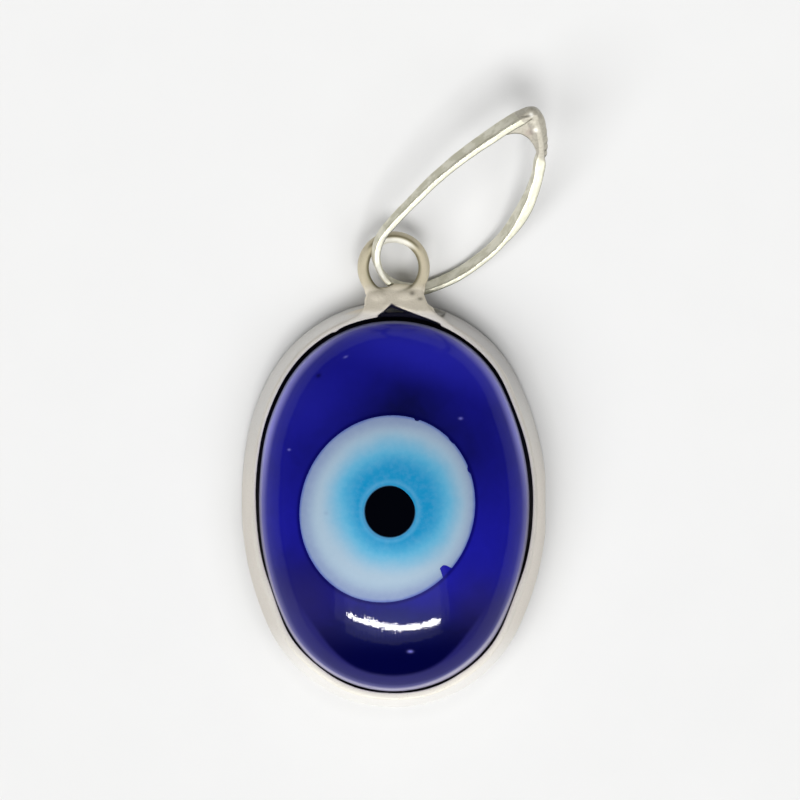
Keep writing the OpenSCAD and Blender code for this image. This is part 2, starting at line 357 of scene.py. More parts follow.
def cup():
    """Back plate and bezel wall. The rim is uneven, lowered at the notch, and nicked beside it."""
    angles = [2 * math.pi * step / CUP_AROUND for step in range(CUP_AROUND)]
    widest = cad_box[1].x / MM - BOX_MARGIN

    def ring(off, z, rim_share=0.0):
        """A ring at an offset from the glass, with this share of the rim's unevenness."""
        points = []
        for angle in angles:
            place = oval(angle)
            uneven = rim_share * wobble((*place, off), 0.35, 0.09)
            inward = 0
            if off == STONE_GAP:
                inward = RIM_NICK_DEPTH * max(0.0, 1 - abs(angle - RIM_NICK_WAY) / RIM_NICK_HALF)
            if z > BACK_T and off < RIM_OUT - RIM_BEVEL:
                upper_right = ease(4, 7, place.y) * ease(0.5, 3, place.x)
                inward += 0.09 * ease(0, -5, place.y) + 0.05 * upper_right
            lift = rim_share * (wobble((*place, 7), 0.5, 0.05) - 0.05)
            if rim_share and place.y > 0 and NOTCH[0][0] < place.x < NOTCH[-1][0]:
                lift -= NOTCH_DEPTH
            x, y = oval(angle, off + uneven - inward - snug(*place))
            points.append(Vector((max(-widest, min(widest, x)), y, z + lift)))
        return points

    foot_in = FOOT_OUT - FOOT_T
    rings = [[Vector((POLE * point.x, POLE * point.y, 0)) for point in ring(0, 0)],
             ring(FOOT_OUT - FOOT_BEVEL, 0), ring(FOOT_OUT, FOOT_BEVEL), ring(FOOT_OUT, BACK_T),
             ring((FOOT_OUT + RIM_OUT) / 2 + 0.02, (BACK_T + BEZEL_H) / 2, 0.5),
             ring(RIM_OUT, BEZEL_H - RIM_BEVEL, 1), ring(RIM_OUT - RIM_BEVEL, BEZEL_H, 1),
             ring(STONE_GAP + RIM_BEVEL / 2, BEZEL_H, 1), ring(STONE_GAP, BEZEL_H - RIM_BEVEL, 1),
             ring(foot_in, BACK_T),
             [Vector((POLE * point.x, POLE * point.y, BACK_T)) for point in ring(0, 0)]]
    return loft(rings)


def eyelet_ring():
    """The wire ring: a round section spun about the middle of the hole."""
    bm = bmesh.new()
    section = bmesh.ops.create_circle(bm, segments=24, radius=WIRE / 2)
    bmesh.ops.rotate(bm, verts=bm.verts, matrix=Matrix.Rotation(math.pi / 2, 3, "X"))
    bmesh.ops.translate(bm, verts=section["verts"], vec=(EYELET_R, 0, 0))
    bmesh.ops.spin(bm, geom=bm.verts[:] + bm.edges[:], axis=(0, 0, 1), angle=2 * math.pi, steps=96,
                   use_merge=True)
    bmesh.ops.remove_doubles(bm, verts=bm.verts, dist=0.001)
    bmesh.ops.recalc_face_normals(bm, faces=bm.faces)
    bmesh.ops.translate(bm, verts=bm.verts, vec=(0, EYELET_Y, EYELET_Z))
    return bm


def rim_y(x):
    """How far along the glass the rim's outer edge lies, at x."""
    return END_Y + math.sqrt((END_R + RIM_OUT) ** 2 - x ** 2)


def solder_neck():
    """Solder from the rim to the eyelet: an outline drawn up, then sloped down to the wire."""
    low = EYELET_Z - 0.3 * WIRE
    top = BEZEL_H - 0.03
    ring_y = EYELET_Y - 0.65 * EYELET_R
    brow = Vector((0, HALF_L + 0.45, top))
    slope = Vector((0, 10.65, EYELET_Z + 0.4 * WIRE)) - brow
    left_side = [(-2.61, rim_y(2.61)), (-1.88, 9.21), (-1.6, 9.37), (-1.44, 9.65), (-1.32, 10.2),
                 (-1.22, ring_y)]
    right_side = [(1.36, ring_y), (1.46, 10.33), (1.58, 10.01), (1.74, 9.61), (2.03, 9.38),
                  (2.47, 9.07), (2.98, rim_y(2.98))]
    inner = [(2.9, rim_y(2.9) - 0.2), NOTCH[2], NOTCH[1], NOTCH[0], (-1.5, rim_y(1.5) - 0.2),
             (-2.5, rim_y(2.5) - 0.2)]
    bm = bmesh.new()
    base = [bm.faces.new([bm.verts.new((x, y, low)) for x, y in left_side + right_side + inner])]
    grown = bmesh.ops.extrude_face_region(bm, geom=base)["geom"]
    lifted = [item for item in grown if isinstance(item, bmesh.types.BMVert)]
    bmesh.ops.translate(bm, verts=lifted, vec=(0, 0, top - low))
    bmesh.ops.bisect_plane(bm, geom=bm.verts[:] + bm.edges[:] + bm.faces[:], plane_co=brow,
                           plane_no=Vector((0, -slope.z, slope.y)), clear_outer=True)
    bmesh.ops.holes_fill(bm, edges=bm.edges, sides=0)
    bmesh.ops.triangulate(bm, faces=bm.faces)
    bmesh.ops.recalc_face_normals(bm, faces=bm.faces)
    return bm


# Soft swellings of the solder on the neck and in the foot of the eyelet: middle and half sizes
LUMPS = [
    ((-0.75, 9.95, 1.7), (0.7, 0.55, 0.36)),
    ((0.6, 10.0, 1.68), (0.9, 0.55, 0.36)),
    ((1.5, 9.5, 1.9), (0.5, 0.3, 0.26)),
    ((-1.2, 10.55, 1.55), (0.24, 0.4, 0.28)),
    ((1.3, 10.6, 1.53), (0.26, 0.4, 0.28)),
    ((0.35, 10.52, 1.62), (0.75, 0.32, 0.2)),
]


def lump(centre, half_size):
    """An egg of solder."""
    bm = bmesh.new()
    bmesh.ops.create_icosphere(bm, subdivisions=3, radius=1)
    bmesh.ops.scale(bm, verts=bm.verts, vec=half_size)
    bmesh.ops.translate(bm, verts=bm.verts, vec=centre)
    return bm


def fused(name, shells, voxel, smooth_turns, keep=1):
    """Closed shells melted into one skin: voxels, a few smoothing turns, and a share of the faces."""
    mesh = bpy.data.meshes.new("shells")
    whole = bmesh.new()
    for shell in shells:
        part = bpy.data.meshes.new("part")
        shell.to_mesh(part)
        shell.free()
        whole.from_mesh(part)
        bpy.data.meshes.remove(part)
    whole.to_mesh(mesh)
    whole.free()
    obj = bpy.data.objects.new("shells", mesh)
    bpy.context.scene.collection.objects.link(obj)
    remesh = obj.modifiers.new("melt", "REMESH")
    remesh.mode = "VOXEL"
    remesh.voxel_size = voxel
    soften = obj.modifiers.new("soften", "SMOOTH")
    soften.iterations = smooth_turns
    if keep < 1:
        fewer = obj.modifiers.new("fewer", "DECIMATE")
        fewer.ratio = keep
    skin = bpy.data.meshes.new_from_object(obj.evaluated_get(bpy.context.evaluated_depsgraph_get()))
    skin.name = name
    bpy.data.objects.remove(obj)
    bpy.data.meshes.remove(mesh)
    return skin


def opened(mesh):
    """The mesh as a bmesh again, so that it can be a shell of the next melt."""
    bm = bmesh.new()
    bm.from_mesh(mesh)
    bpy.data.meshes.remove(mesh)
    return bm


def bail_line():
    """The bail's three arcs from tip to tip: centre, radius, and the first and last angle."""
    tip = Vector((BAIL_REACH, 0))
    start = math.atan2(*(tip - LEFT_C).yx)
    left_join = math.atan2(-LEFT_C.y, -LEFT_C.x)
    right_join = math.atan2(-RIGHT_C.y, -RIGHT_C.x)
    end = math.atan2(*(tip - RIGHT_C).yx)
    arcs = [(LEFT_C, LEFT_R, start, left_join), (Vector((0, 0)), BEND_R, left_join, right_join),
            (RIGHT_C, RIGHT_R, right_join, end)]
    line = []
    for centre, radius, first, last in arcs:
        while last < first:
            last += 2 * math.pi
        line.append((centre, radius, first, last))
    return line


def bail_strip():
    """Flat strip spun along the left strand, the bend and the right strand."""
    bm = bmesh.new()
    line = bail_line()
    centre, radius, first, _ = line[0]
    bmesh.ops.create_grid(bm, x_segments=1, y_segments=1, size=0.5)
    bmesh.ops.scale(bm, verts=bm.verts, vec=(STRIP_T, STRIP_W, 1))
    bmesh.ops.bevel(bm, geom=bm.verts[:], offset=STRIP_BEVEL, offset_type="OFFSET", segments=3,
                    profile=0.5, affect="VERTICES", material=-1)
    bmesh.ops.rotate(bm, verts=bm.verts, matrix=Matrix.Rotation(math.pi / 2, 3, "X"))
    bmesh.ops.translate(bm, verts=bm.verts, vec=(radius, 0, 0))
    bmesh.ops.rotate(bm, verts=bm.verts, matrix=Matrix.Rotation(first, 3, "Z"))
    bmesh.ops.translate(bm, verts=bm.verts, vec=centre.to_3d())
    geom = bm.verts[:] + bm.edges[:] + bm.faces[:]
    for centre, radius, first, last in line:
        steps = max(8, round(radius * (last - first) / STRIP_STEP))
        geom = bmesh.ops.spin(bm, geom=geom, cent=centre.to_3d(), axis=(0, 0, 1), angle=last - first,
                              steps=steps)["geom_last"]
    bmesh.ops.recalc_face_normals(bm, faces=bm.faces)
    return bm


def worn_strip(bm):
    """The strip as worn: narrower at the bend, stout towards the tip, and uneven all along."""
    for vert in bm.verts:
        x, y, z = vert.co
        if x > 0 and y > 0:
            centre, radius = LEFT_C, LEFT_R
            wide = 0.7 + 0.34 * ease(0, 7.5, x)
            thick = 1.22 + 0.3 * ease(4, 7.5, x) - 0.9 * ease(8.2, 8.7, x)
        elif x > -1.5 and y < 0:
            centre, radius = RIGHT_C, RIGHT_R
            top = ease(2.6, 4.2, x) * ease(7.4, 6.9, x)
            wide, thick = 0.96 - 0.5 * ease(3.5, 7.2, x), 1.1 + 0.85 * top
        else:
            centre, radius = Vector((0, 0)), BEND_R
            wide, thick = 0.7 + 0.2 * ease(2.15, 1.3, y), 1.2
        if x < 3 and y < 0.5:
            wide = 0.9 + 0.06 * ease(-1.5, 1.5, x)
        out = Vector((x, y)) - centre
        off = (out.length - radius) * thick * (1 + wobble((x, y, 3), 1.1, 0.14))
        flat = centre + out.normalized() * (radius + off + wobble((x, y, 9), 0.6, 0.035))
        vert.co = (*flat, STRIP_W / 2 - (STRIP_W / 2 - z) * wide + wobble((x, y, 5), 1.1, 0.025))
    return bm


def tip_wedge():
    """Solder that fills the bail's tip, from the end of the left strand round to the right strand."""
    outline = [(7.3, 0.68), (7.9, 0.66), (8.46, 0.46), (8.8, 0.24), (9.02, -0.06), (9.03, -0.34),
               (8.9, -0.64), (8.72, -0.88), (8.35, -1.28), (7.86, -1.7), (7.35, -2.04), (7.02, -2.12),
               (7.16, -1.74), (7.45, -1.22), (7.62, -0.68), (7.6, -0.2), (7.42, 0.14), (7.1, 0.45)]
    bm = bmesh.new()
    base = [bm.faces.new([bm.verts.new((x, y, -0.4)) for x, y in outline])]
    grown = bmesh.ops.extrude_face_region(bm, geom=base)["geom"]
    lifted = [item for item in grown if isinstance(item, bmesh.types.BMVert)]
    bmesh.ops.translate(bm, verts=lifted, vec=(0, 0, 0.66))
    bmesh.ops.recalc_face_normals(bm, faces=bm.faces)
    bmesh.ops.bevel(bm, geom=bm.edges[:], offset=0.1, offset_type="OFFSET", segments=3, profile=0.5,
                    affect="EDGES", material=-1)
    bmesh.ops.triangulate(bm, faces=bm.faces)
    return bm


# The crown of the solder on the bail's tip, in the flat bail: middle and half sizes
TIP_LUMPS = [
    ((8.72, 0.0, 0.08), (0.34, 0.36, 0.34)),
    ((8.52, -0.32, 0.1), (0.46, 0.42, 0.34)),
    ((8.32, -0.62, 0.1), (0.5, 0.42, 0.34)),
    ((8.1, -0.95, 0.1), (0.46, 0.4, 0.33)),
    ((7.88, -1.25, 0.1), (0.38, 0.38, 0.32)),
    ((7.65, -1.52, 0.1), (0.3, 0.34, 0.31)),
    ((7.4, -1.76, 0.08), (0.24, 0.3, 0.3)),
]


def on_solder(vert):
    """1 on the solder of the bail's tip and 0 on the strip, whose bright end lies in it."""
    x, y, _ = vert.co
    from_strand = abs((Vector((x, y)) - LEFT_C).length - LEFT_R)
    strip = ease(-0.25, -0.1, y) * ease(0.25, 0.2, from_strand) * ease(8.26, 8.18, x)
    return ease(7.05, 7.25, x) * (1 - strip)


def bail_skin():
    """The whole bail: strip and solder melted together and laid through the eyelet."""
    lumps = [lump(*place) for place in TIP_LUMPS]
    tip = opened(fused("tip", [tip_wedge()] + lumps, voxel=0.04, smooth_turns=12))
    skin = fused("bail_strip_silver", [worn_strip(bail_strip()), tip], voxel=0.028, smooth_turns=4)
    paint(skin, "solder", on_solder)
    lay = (Matrix.Translation((0, EYELET_Y, EYELET_Z)) @ Matrix.Rotation(BAIL_LEAN, 4, "Z")
           @ Matrix.Rotation(BAIL_TILT, 4, "Y") @ Matrix.Rotation(BAIL_TURN, 4, "Z")
           @ Matrix.Translation((*BEND_C, BAIL_GAP)))
    skin.transform(lay)
    plane = lay.to_3x3() @ Vector((0, 0, 1))
    uphill = (Vector((0, 0, 1)) - plane * plane.z).normalized()
    paint(skin, "face", lambda vert: ease(0.93, 0.8, vert.normal @ plane))
    # Mask of the surfaces that face downhill, where the material paints shade
    paint(skin, "under", lambda vert: ease(-0.12, -0.5, vert.normal @ uphill))
    skin.shade_smooth()
    return skin


# Materials
def shade(code):
    """Linear colour of an sRGB hex code."""
    parts = [int(code[at:at + 2], 16) / 255 for at in (0, 2, 4)]
    linear = [part / 12.92 if part <= 0.04045 else ((part + 0.055) / 1.055) ** 2.4 for part in parts]
    return (*linear, 1)


class Num:
    """A value that changes over a surface. Arithmetic on it adds Math nodes."""

    def __init__(self, look, socket):
        self.look = look
        self.socket = socket

    def math(self, operation, *others):
        values = dict(enumerate((self, *others)))
        return self.look.node("ShaderNodeMath", {"operation": operation}, values)

    def __add__(self, other):
        return self.math("ADD", other)

    def __sub__(self, other):
        return self.math("SUBTRACT", other)

    def __mul__(self, other):
        return self.math("MULTIPLY", other)

    def __truediv__(self, other):
        return self.math("DIVIDE", other)

    def __pow__(self, other):
        return self.math("POWER", other)

    def __rsub__(self, other):
        return self * -1 + other

    def __rpow__(self, other):
        return self.look.node("ShaderNodeMath", {"operation": "POWER"}, {0: other, 1: self})

    __radd__ = __add__
    __rmul__ = __mul__

    def clip(self):
        return self.look.node("ShaderNodeClamp", {}, {"Value": self})

    def bell(self):
        """1 where the value is 0, falling away smoothly on both sides."""
        return math.e ** (self * self * -1)

    def ease(self, low, high):
        """0 below low, 1 above high, and a smooth step between them."""
        return self.look.node("ShaderNodeMapRange", {"interpolation_type": "SMOOTHSTEP"},
                              {"Value": self, "From Min": low, "From Max": high})


class Look:
    """A material, with one method that adds any node to it."""

    def __init__(self, name):
        self.material = bpy.data.materials.new(name)
        self.material.use_nodes = True
        self.tree = self.material.node_tree
        self.tree.nodes.clear()

    def node(self, kind, settings, inputs, output=0):
        """Any node: its settings, then the values or links of its sockets. Gives one output."""
        made = self.tree.nodes.new(kind)
        for key, value in settings.items():
            setattr(made, key, value)
        for key, value in inputs.items():
            if isinstance(value, Num):
                self.tree.links.new(value.socket, made.inputs[key])
            else:
                made.inputs[key].default_value = value
        return Num(self, made.outputs[output])

    @classmethod
    def on(cls, tree):
        """The same method for a node tree that is there already."""
        look = cls.__new__(cls)
        look.tree = tree
        return look

    def mark(self, name):
        """A number painted on the mesh."""
        return self.node("ShaderNodeAttribute", {"attribute_name": name}, {}, "Fac")

    def place(self):
        """The point on the piece in millimetres, as one vector and as x, y and z."""
        metres = self.node("ShaderNodeTexCoord", {}, {}, "Object")
        point = self.node("ShaderNodeVectorMath", {"operation": "SCALE"}, {0: metres, "Scale": 1000})
        axes = [self.node("ShaderNodeSeparateXYZ", {}, {"Vector": point}, axis) for axis in range(3)]
        return point, axes

    def noise(self, point, scale, detail=2, roughness=0.5, distortion=0):
        """A smooth random pattern from 0 to 1. The scale is in waves a millimetre."""
        return self.node("ShaderNodeTexNoise", {}, {"Vector": point, "Scale": scale, "Detail": detail,
                                                    "Roughness": roughness, "Distortion": distortion})

    def mix(self, share, start, end):
        """The colour a share of the way from one to another."""
        return self.node("ShaderNodeMix", {"data_type": "RGBA"}, {0: share, 6: start, 7: end}, 2)

    def bump(self, height, distance, strength):
        """A normal that shows a height, given as a share of a distance in millimetres."""
        inputs = {"Height": height, "Distance": distance * MM, "Strength": strength}
        return self.node("ShaderNodeBump", {}, inputs)

    def finish(self, **inputs):
        """The surface itself. Names are the shader's sockets, with _ for a space."""
        named = {key.replace("_", " "): value for key, value in inputs.items()}
        surface = self.node("ShaderNodeBsdfPrincipled", {}, named)
        end = self.tree.nodes.new("ShaderNodeOutputMaterial")
        self.tree.links.new(surface.socket, end.inputs["Surface"])
        return self.material


def spot(x, y, at, size, turn=0.0):
    """A soft round or oval mask in plan: 1 in the middle and 0 well outside."""
    c, s = math.cos(turn), math.sin(turn)
    u = ((x - at[0]) * c + (y - at[1]) * s) / size[0]
    v = ((y - at[1]) * c - (x - at[0]) * s) / size[1]
    return math.e ** ((u * u + v * v) * -1)


def spots(x, y, places):
    """Several spots as one mask."""
    return sum(spot(x, y, *place) for place in places).clip()


def eye_share(x, y, disc):
    """0 in the middle of a disc of the eye, 1 on its edge, and more outside."""
    c, s = math.cos(disc["turn"]), math.sin(disc["turn"])
    right, up = x - disc["centre"][0], y - disc["centre"][1]
    u = (right * c - up * s) / (disc["size"][0] / 2)
    v = (right * s + up * c) / (disc["size"][1] / 2)
    return (u * u + v * v) ** 0.5


def reach_from(x, y, centre):
    """How far a point in plan lies from another, in millimetres."""
    return eye_share(x, y, {"centre": centre, "size": (2, 2), "turn": 0})


# Small marks, among them painted highlights and shade, each a middle, half sizes and a turn if it has
# one
GLASS_SPECKS = [
    ((-2.3, 7.2), (0.1, 0.05), 0.4),
    ((3.2, 4.25), (0.09, 0.06)),
    ((-5.0, 2.75), (0.07, 0.05)),
    ((0.8, -6.9), (0.12, 0.07)),
]
DARK_SPECK = ((-3.6, 6.3), (0.13, 0.1), 0.5)
EYE_SPECK = ((-3.2, -0.25), (0.12, 0.1))
SHADED_NECK_PITS = [((0.9, 10.32), (0.12, 0.1)), ((1.3, 10.05), (0.12, 0.08))]
TIP_GLEAMS = [((6.58, 18.77), (0.1, 0.1)), ((6.82, 18.05), (0.13, 0.09))]
TIP_HOLLOW_SHADE = ((6.5, 17.95), (0.22, 0.2))


def cobalt_look():
    """Deep cobalt glass with painted light and shade: brighter where light gets through, near black
    low down and beside the eye in painted shade.
    """
    look = Look("cobalt_glass")
    point, (x, y, _) = look.place()
    off = look.mark("off")

    # Depth of the blue, with painted light and shade: painted shadow of the eye beside and above it,
    # painted shade low down and at the lower corners
    swirl = look.noise(point, 0.8, 3, 0.55, 0.6) - 0.5
    from_eye = reach_from(x, y, WHITE["centre"]) - 4.2
    eye_shadow_beside = math.e ** (from_eye * from_eye * -0.39) * y.ease(-1.5, 3) * 0.42
    eye_shadow_over = spot(x, y, (0.7, 5.1), (2.3, 2.2)) * 0.5 + spot(x, y, (4.0, 3.2), (1.6, 2.2)) * 0.2
    across, along = (x + 0.2) / 4.4, (y + 7.2) / 2.6
    low_shade = (across * across + along * along).bell()
    low_left_shade = spot(x, y, (-4.2, -4.1), (2.4, 2.6)) * 0.6
    low_right_shade = spot(x, y, (4.2, -5.4), (2.0, 1.4)) * 0.6
    share = (0.9 - eye_shadow_beside - eye_shadow_over - low_shade - low_left_shade - low_right_shade + swirl * 0.3).clip()
    deep = look.mix(y.ease(-4, 0), shade("020332"), shade("0b0d3a"))
    colour = look.mix(share, deep, shade("1b1a98"))
    # Painted light through the glass at the upper end and at the upper left
    colour = look.mix((y + x * 0.3).ease(5.8, 9.0) * 0.85, colour, shade("3232d4"))
    colour = look.mix(spot(x, y, (-4.4, 5.4), (1.6, 1.8)) * 0.25, colour, shade("2a2aa0"))

    # Painted reflections of the room's light: round the lamp's reflection, to both sides of it and
    # below it
    smile = spot(x, y, (-0.2, -5.5), (2.4, 0.8))
    colour = look.mix(smile * 0.55, colour, shade("2a2f78"))
    low_reflection_veil = spot(x, y, (-4.3, -4.5), (1.9, 1.9)) * 0.55 + spot(x, y, (4.1, -4.6), (1.6, 1.5)) * 0.45
    colour = look.mix(low_reflection_veil, colour, shade("2c285e"))
    low = y.ease(-3, -6)
    low_reflection_band = (off + (x * x).ease(0, 14) * low * 0.4).ease(-1.05, -0.8) * low
    colour = look.mix(low_reflection_band * 0.6, colour, shade("2c2a70"))
    # Painted shadow of the white layer inside the glass: a dark line just outside the eye
    line = (eye_share(x, y, WHITE) - 1.015) / 0.02
    colour = look.mix(line.bell() * 0.6, colour, shade("00003e"))

    # Pale edge of the dome: painted reflection of the room and painted light through the thin glass
    high, side = y.ease(-1, 4), (x * x).ease(1, 14)
    edge_light = look.mix(high, shade("8c8acc"), shade("a09efa"))
    near = off + high * (side * 0.17 - 0.1)
    colour = look.mix(near.ease(-0.5, 0.0) * (high * side * 0.4 + 0.5), colour, edge_light)
    low_edge = y.ease(-4, -8) * 0.06 + x.ease(0, 4) * low * 0.08
    edge = look.mix(high, shade("aeabc2"), shade("cccfff"))
    colour = look.mix((off + low_edge).ease(-0.24, -0.06) * 0.9, colour, edge)

    # Specks and the waviness of the surface, which ripples the lamp's reflection
    colour = look.mix(spots(x, y, GLASS_SPECKS) * 0.7, colour, shade("7a78d8"))
    colour = look.mix(spot(x, y, *DARK_SPECK) * 0.8, colour, shade("020240"))
    wave = look.noise(point, 0.5, 2) * 0.9 + look.noise(point, 4.5, 2) * 0.1
    along_x = look.node("ShaderNodeVectorMath", {"operation": "MULTIPLY"}, {0: point, 1: (1, 0.1, 0)})
    wave = wave + (look.noise(along_x, 8, 1) - 0.5) * (y + 5.5) * smile * 1.1
    rough = look.noise(point, 6, 3) * 0.05 + 0.02
    return look.finish(Base_Color=colour, Roughness=rough, IOR=1.18, Normal=look.bump(wave, 0.05, 0.5))


def eye_colour(look, point, x, y):
    """White glass and the blue that fades into it, as one colour over both layers."""
    soft = (look.noise(point, 0.7, 3, 0.6) - 0.5) * 0.5
    reach = reach_from(x, y, (0.05, 0.24)) + soft
    colour = look.mix(reach.ease(1.6, 2.75), shade("1687b9"), shade("55a6ca"))
    colour = look.mix(reach.ease(2.3, 3.7), colour, shade("9db3c5"))
    halo = (eye_share(x, y, PUPIL) - 1.1) / 0.08
    colour = look.mix(halo.bell() * 0.3, colour, shade("6aaacc"))
    rim = eye_share(x, y, WHITE) + soft * 0.06
    colour = look.mix((rim - x.ease(0, 3) * 0.06).ease(0.78, 0.97), colour, shade("8192b3"))
    return look.mix(rim.ease(0.965, 1.0), colour, shade("5a6cae"))


def layer_look(name):
    """Opaque pale glass of the eye, with faint clouds and a speck."""
    look = Look(name)
    point, (x, y, _) = look.place()
    colour = eye_colour(look, point, x, y)
    cloud = look.noise(point, 3.5, 4, 0.6)
    colour = look.mix(cloud.ease(0.35, 0.75) * 0.05, colour, shade("c3d4de"))
    colour = look.mix(spot(x, y, *EYE_SPECK) * 0.4, colour, shade("7d95b4"))
    wave = look.noise(point, 0.5, 2) * 2 + look.noise(point, 2.6, 2) * 0.16
    return look.finish(Base_Color=colour, Roughness=cloud * 0.1 + 0.03, IOR=1.18,
                       Normal=look.bump(wave, 0.05, 0.5))


def pupil_look():
    """Black glass with a thin pale blue halo where it meets the iris."""
    look = Look("black_glass")
    point, (x, y, _) = look.place()
    halo = eye_share(x, y, PUPIL).ease(0.93, 1.0)
    colour = look.mix(halo, shade("020308"), shade("4788b4"))
    wave = look.noise(point, 0.5, 2)
    return look.finish(Base_Color=colour, Roughness=look.noise(point, 5, 3) * 0.06 + 0.03, IOR=1.18,
                       Normal=look.bump(wave, 0.05, 0.5))


def setting_look():
    """Worn silver: satin on the cup with painted light and shade, warm and lumpy on the solder, near
    black down in the gap with tarnish and painted shade.
    """
    look = Look("worn_silver")
    point, (x, y, z) = look.place()

    # Cup: rim and flank, each whiter low down in painted light, and the flank greyer towards the top
    # and the upper right in painted shade
    lumpy = look.noise(point, 1.6, 4, 0.6)
    fine = look.noise(point, 11, 4, 0.6)
    solder = y.ease(9.2, 9.6) * (x * x).ease(6.5, 4.6) * z.ease(0.95, 1.15)
    wall = z.ease(BEZEL_H - 0.1, BEZEL_H - 0.25) * (1 - solder)
    low = y.ease(-5.3, -8.3)
    flank_light_and_shade = look.mix(y.ease(0, 5), shade("e9e3da"), shade("dedcd8"))
    flank_light_and_shade = look.mix(y.ease(4, 7) * x.ease(1, 4), flank_light_and_shade, shade("cac8c6"))
    flank_light_and_shade = look.mix(low, flank_light_and_shade, shade("fffdf9"))
    rim = look.mix(low, shade("e2ddd4"), shade("f6f1e6"))
    base = look.mix(wall, rim, flank_light_and_shade)

    # Solder on the neck and the eyelet, with grime, and two pits darkened with painted shade
    base = look.mix(solder, base, look.mix(y.ease(10.4, 10.9), shade("f0e7d4"), shade("d9cfb4")))
    grime = (fine.ease(0.55, 0.8) * 0.3 + lumpy.ease(0.55, 0.8) * 0.35 * solder).clip()
    colour = look.mix(grime, base, shade("a3977c"))
    colour = look.mix(spots(x, y, SHADED_NECK_PITS) * 0.7, colour, shade("6a614c"))

    # Wire of the eyelet: dark lines of painted shade and reflection where it turns away, and a bright
    # painted highlight on the bore at the top
    up = y - EYELET_Y
    reach = (x * x + up * up) ** 0.5
    ring = z.ease(0.9, 1.2) * reach.ease(2.1, 1.95)
    crest_reflection_line = (reach - EYELET_R - 0.04) / 0.07
    crest_reflection_line = crest_reflection_line.bell() * up.ease(0.7, 1.2)
    inner = (reach - HOLE_D / 2 - 0.05) / 0.08
    inner = inner.bell() * up.ease(1.2, 0.8) * up.ease(-1.3, -0.9)
    colour = look.mix((crest_reflection_line + inner).clip() * ring * 0.85, colour, shade("6f6848"))
    bore_highlight = up.ease(0.8, 1.2) * reach.ease(EYELET_R, EYELET_R - 0.1) * ring
    colour = look.mix(bore_highlight, colour, shade("fbf8ea"))

    # Gap between glass and rim: black with tarnish and painted shade, lighter towards the bottom
    gap = look.mark("gap")
    colour = look.mix(gap, colour, look.mix(y.ease(-6, 4), shade("6c6966"), shade("1c1c2e")))
    metal = (1 - gap) * (wall * (low * -0.23 + 0.6) + 0.3)
    height = lumpy * (solder * 0.35 + 0.1) + fine * 0.1
    return look.finish(Base_Color=colour, Metallic=metal, Roughness=fine * 0.2 + 0.36,
                       Normal=look.bump(height, 0.16, 0.7))


def bail_look():
    """Polished strip: bright edges, dull grey faces partly in painted shade, and a rough soldered tip
    with painted highlights and shade.
    """
    look = Look("strip_silver")
    point, (x, y, _) = look.place()
    fine = look.noise(point, 9, 4, 0.6)
    streak = look.noise(point, 1.5, 3, 0.6)
    solder = look.mark("solder")
    face = look.mark("face")
    # The broad faces: dull grey from dirt and painted shade
    grey = look.mix(streak.ease(0.4, 0.6), shade("cfccb6"), shade("e8e5d3"))
    bright = look.mix(fine.ease(0.6, 0.8) * 0.3, shade("f6f4de"), shade("c9c4a8"))
    colour = look.mix(face, bright, grey)
    rough = look.mix(fine.ease(0.4, 0.75) * 0.5, shade("c2bdae"), shade("9a937f"))
    colour = look.mix(solder, colour, rough)
    # Painted highlights on the solder of the tip, and painted shade in its hollow
    colour = look.mix(spots(x, y, TIP_GLEAMS) * solder * 0.85, colour, shade("fffdf4"))
    colour = look.mix(spot(x, y, *TIP_HOLLOW_SHADE) * solder * 0.5, colour, shade("94807a"))
    # Painted shade on the surfaces that face downhill
    colour = look.mix(look.mark("under"), colour, shade("6d6a56"))
    metal = 1 - solder * 0.75 - face * (1 - solder) * 0.5
    return look.finish(Base_Color=colour, Metallic=metal, Roughness=fine * 0.16 + 0.3,
                       Normal=look.bump(streak + fine * 0.2, 0.06, 0.6))


def floor_look():
    """Pale paper with the faintest mottling, darker beside the cup in painted shadow, and a dark table
    far outside.
    """
    look = Look("pale_paper")
    point, (x, y, _) = look.place()
    tone = look.noise(point, 0.25, 3)
    colour = look.mix(tone, (0.79, 0.79, 0.785, 1), (0.81, 0.81, 0.805, 1))
    share = ((x * x / FOOT_W ** 2) ** 1.075 + (y * y / FOOT_L ** 2) ** 1.075) ** 0.465
    # Painted shadow on the paper beside the cup, stronger towards the bottom and the right
    contact_shadow = share.ease(1.3, 1.0) * 0.05 + share.ease(1.1, 1.0) * 0.07
    colour = look.mix(contact_shadow * (y.ease(2, -3) + x.ease(0, 4) + 0.4).clip(), colour, (0, 0, 0, 1))
    away = ((x * x + (y - 5) * (y - 5)) ** 0.5).ease(34, 75)
    colour = look.mix(away, colour, (0.06, 0.06, 0.06, 1))
    return look.finish(Base_Color=colour, Roughness=0.95, Specular_IOR_Level=0.1)


def in_gap(vert):
    """1 inside the cup, down between the glass and the rim, where the silver is black with age and
    painted shade.
    """
    x, y, z = vert.co
    wall = (NOTCH[1][0] - NOTCH[0][0], NOTCH[2][0] - NOTCH[1][0])
    rise = min(max(0.0, x - NOTCH[0][0]) / wall[0], max(0.0, NOTCH[2][0] - x) / wall[1], 1.0)
    reach = STONE_GAP + (FOOT_OUT - FOOT_T - STONE_GAP) * (BEZEL_H - z) / (BEZEL_H - BACK_T)
    if y > 0:
        reach = max(reach, STONE_GAP + rise * (NOTCH[1][1] - HALF_L - STONE_GAP))
    off = outline_off(x, y) + snug(x, y)
    deep = ease(BEZEL_H - 0.13, BEZEL_H - 0.23, z) * ease(0.15, 0.3, z)
    return ease(reach + 0.12, reach + 0.05, off) * deep


